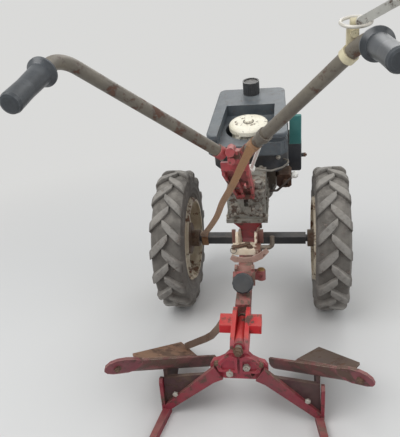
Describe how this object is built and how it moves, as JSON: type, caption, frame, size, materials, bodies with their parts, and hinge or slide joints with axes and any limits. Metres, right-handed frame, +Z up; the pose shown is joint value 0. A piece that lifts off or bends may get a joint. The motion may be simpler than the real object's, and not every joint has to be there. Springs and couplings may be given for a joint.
{
  "type": "walking tractor with turn-over plough",
  "caption": "Two-wheeled walking tractor on lugged tyres, with tank-topped engine, long handlebars and a hinged mirror-pair plough that stands it on its slides.",
  "frame": {"origin": "on the floor, under the middle of the machine's length and width", "axes": "+Y forwards, +X to the driver's right, +Z up"},
  "size_m": [0.644, 1.188, 1.0109],
  "materials": {
    "axle_black": "black paint",
    "ball_white": "white moulding",
    "bar_green": "grey-green paint with rust",
    "casing_red": "worn red paint",
    "chrome_ring": "pitted chrome",
    "engine_grey": "oily grey casting",
    "filter_teal": "teal paint",
    "gearbox_alloy": "dirty cast aluminium",
    "grip_rubber": "black rubber",
    "hitch_cream": "chipped cream paint",
    "hub_grey": "dirty iron",
    "knob_black": "moulded black",
    "lever_blue": "blue-grey paint",
    "plough_brown": "soil-worn dark steel",
    "plough_crimson": "faded crimson paint",
    "plough_red": "bright red paint",
    "rim_cream": "chalky cream paint with rust",
    "rust": "rusted steel",
    "shroud_black": "faded black",
    "starter_cream": "cream paint",
    "steel_bare": "dull bare steel",
    "strap_tan": "tan webbing",
    "tank_black": "faded black-grey plastic",
    "tyre": "dusty worn rubber"
  },
  "bodies": {
    "root": {"air_filter_case": "shroud_black", "air_filter_cover": "filter_teal", "axle_beam": "axle_black", "blower_shroud": "shroud_black", "clamp_head": "casing_red", "clutch_bell": "gearbox_alloy", "clutch_lever": "lever_blue", "column": "casing_red", "control_bracket": "hitch_cream", "control_cable": "knob_black", "coupling": "casing_red", "engine_block": "engine_grey", "final_drive": "casing_red", "fuel_cap": "knob_black", "fuel_tank": "tank_black", "gear_lever": "ball_white", "gearbox": "gearbox_alloy", "grip_left": "grip_rubber", "grip_right": "grip_rubber", "guard_hoop": "chrome_ring", "handlebar_left": "bar_green", "handlebar_right": "bar_green", "hitch_frame": "hitch_cream", "hitch_hook": "steel_bare", "hitch_lever": "steel_bare", "lock_knob": "knob_black", "silencer": "rust", "starter_cover": "starter_cream", "throttle_rod": "ball_white", "tie_strap": "strap_tan", "turning_shaft": "steel_bare"},
    "wheel_left": {"tyre_left": "tyre", "rim_left": "rim_cream", "hub_left": "hub_grey"},
    "wheel_right": {"tyre_right": "tyre", "rim_right": "rim_cream", "hub_right": "hub_grey"},
    "plough": {"frog_left": "plough_brown", "frog_right": "plough_brown", "leg_left": "plough_crimson", "leg_right": "plough_crimson", "mouldboard_left": "plough_brown", "mouldboard_right": "plough_brown", "plough_head": "plough_red", "share_left": "rust", "share_right": "plough_brown", "slide_left": "plough_crimson", "slide_right": "plough_crimson", "tail_plate_left": "plough_crimson", "tail_plate_right": "plough_crimson", "turnover_handle": "rust"}
  },
  "joints": [
    {"name": "wheel_left_spin", "type": "hinge", "parent": "root", "child": "wheel_left", "pos_m": [-0.265, 0.3098, 0.248], "axis": [1, 0, 0], "continuous": true},
    {"name": "wheel_right_spin", "type": "hinge", "parent": "root", "child": "wheel_right", "pos_m": [0.265, 0.3098, 0.248], "axis": [1, 0, 0], "continuous": true},
    {"name": "plough_turn", "type": "hinge", "parent": "root", "child": "plough", "pos_m": [0, -0.2102, 0.21], "axis": [0, 1, 0], "range_deg": [-45, 45]}
  ]
}
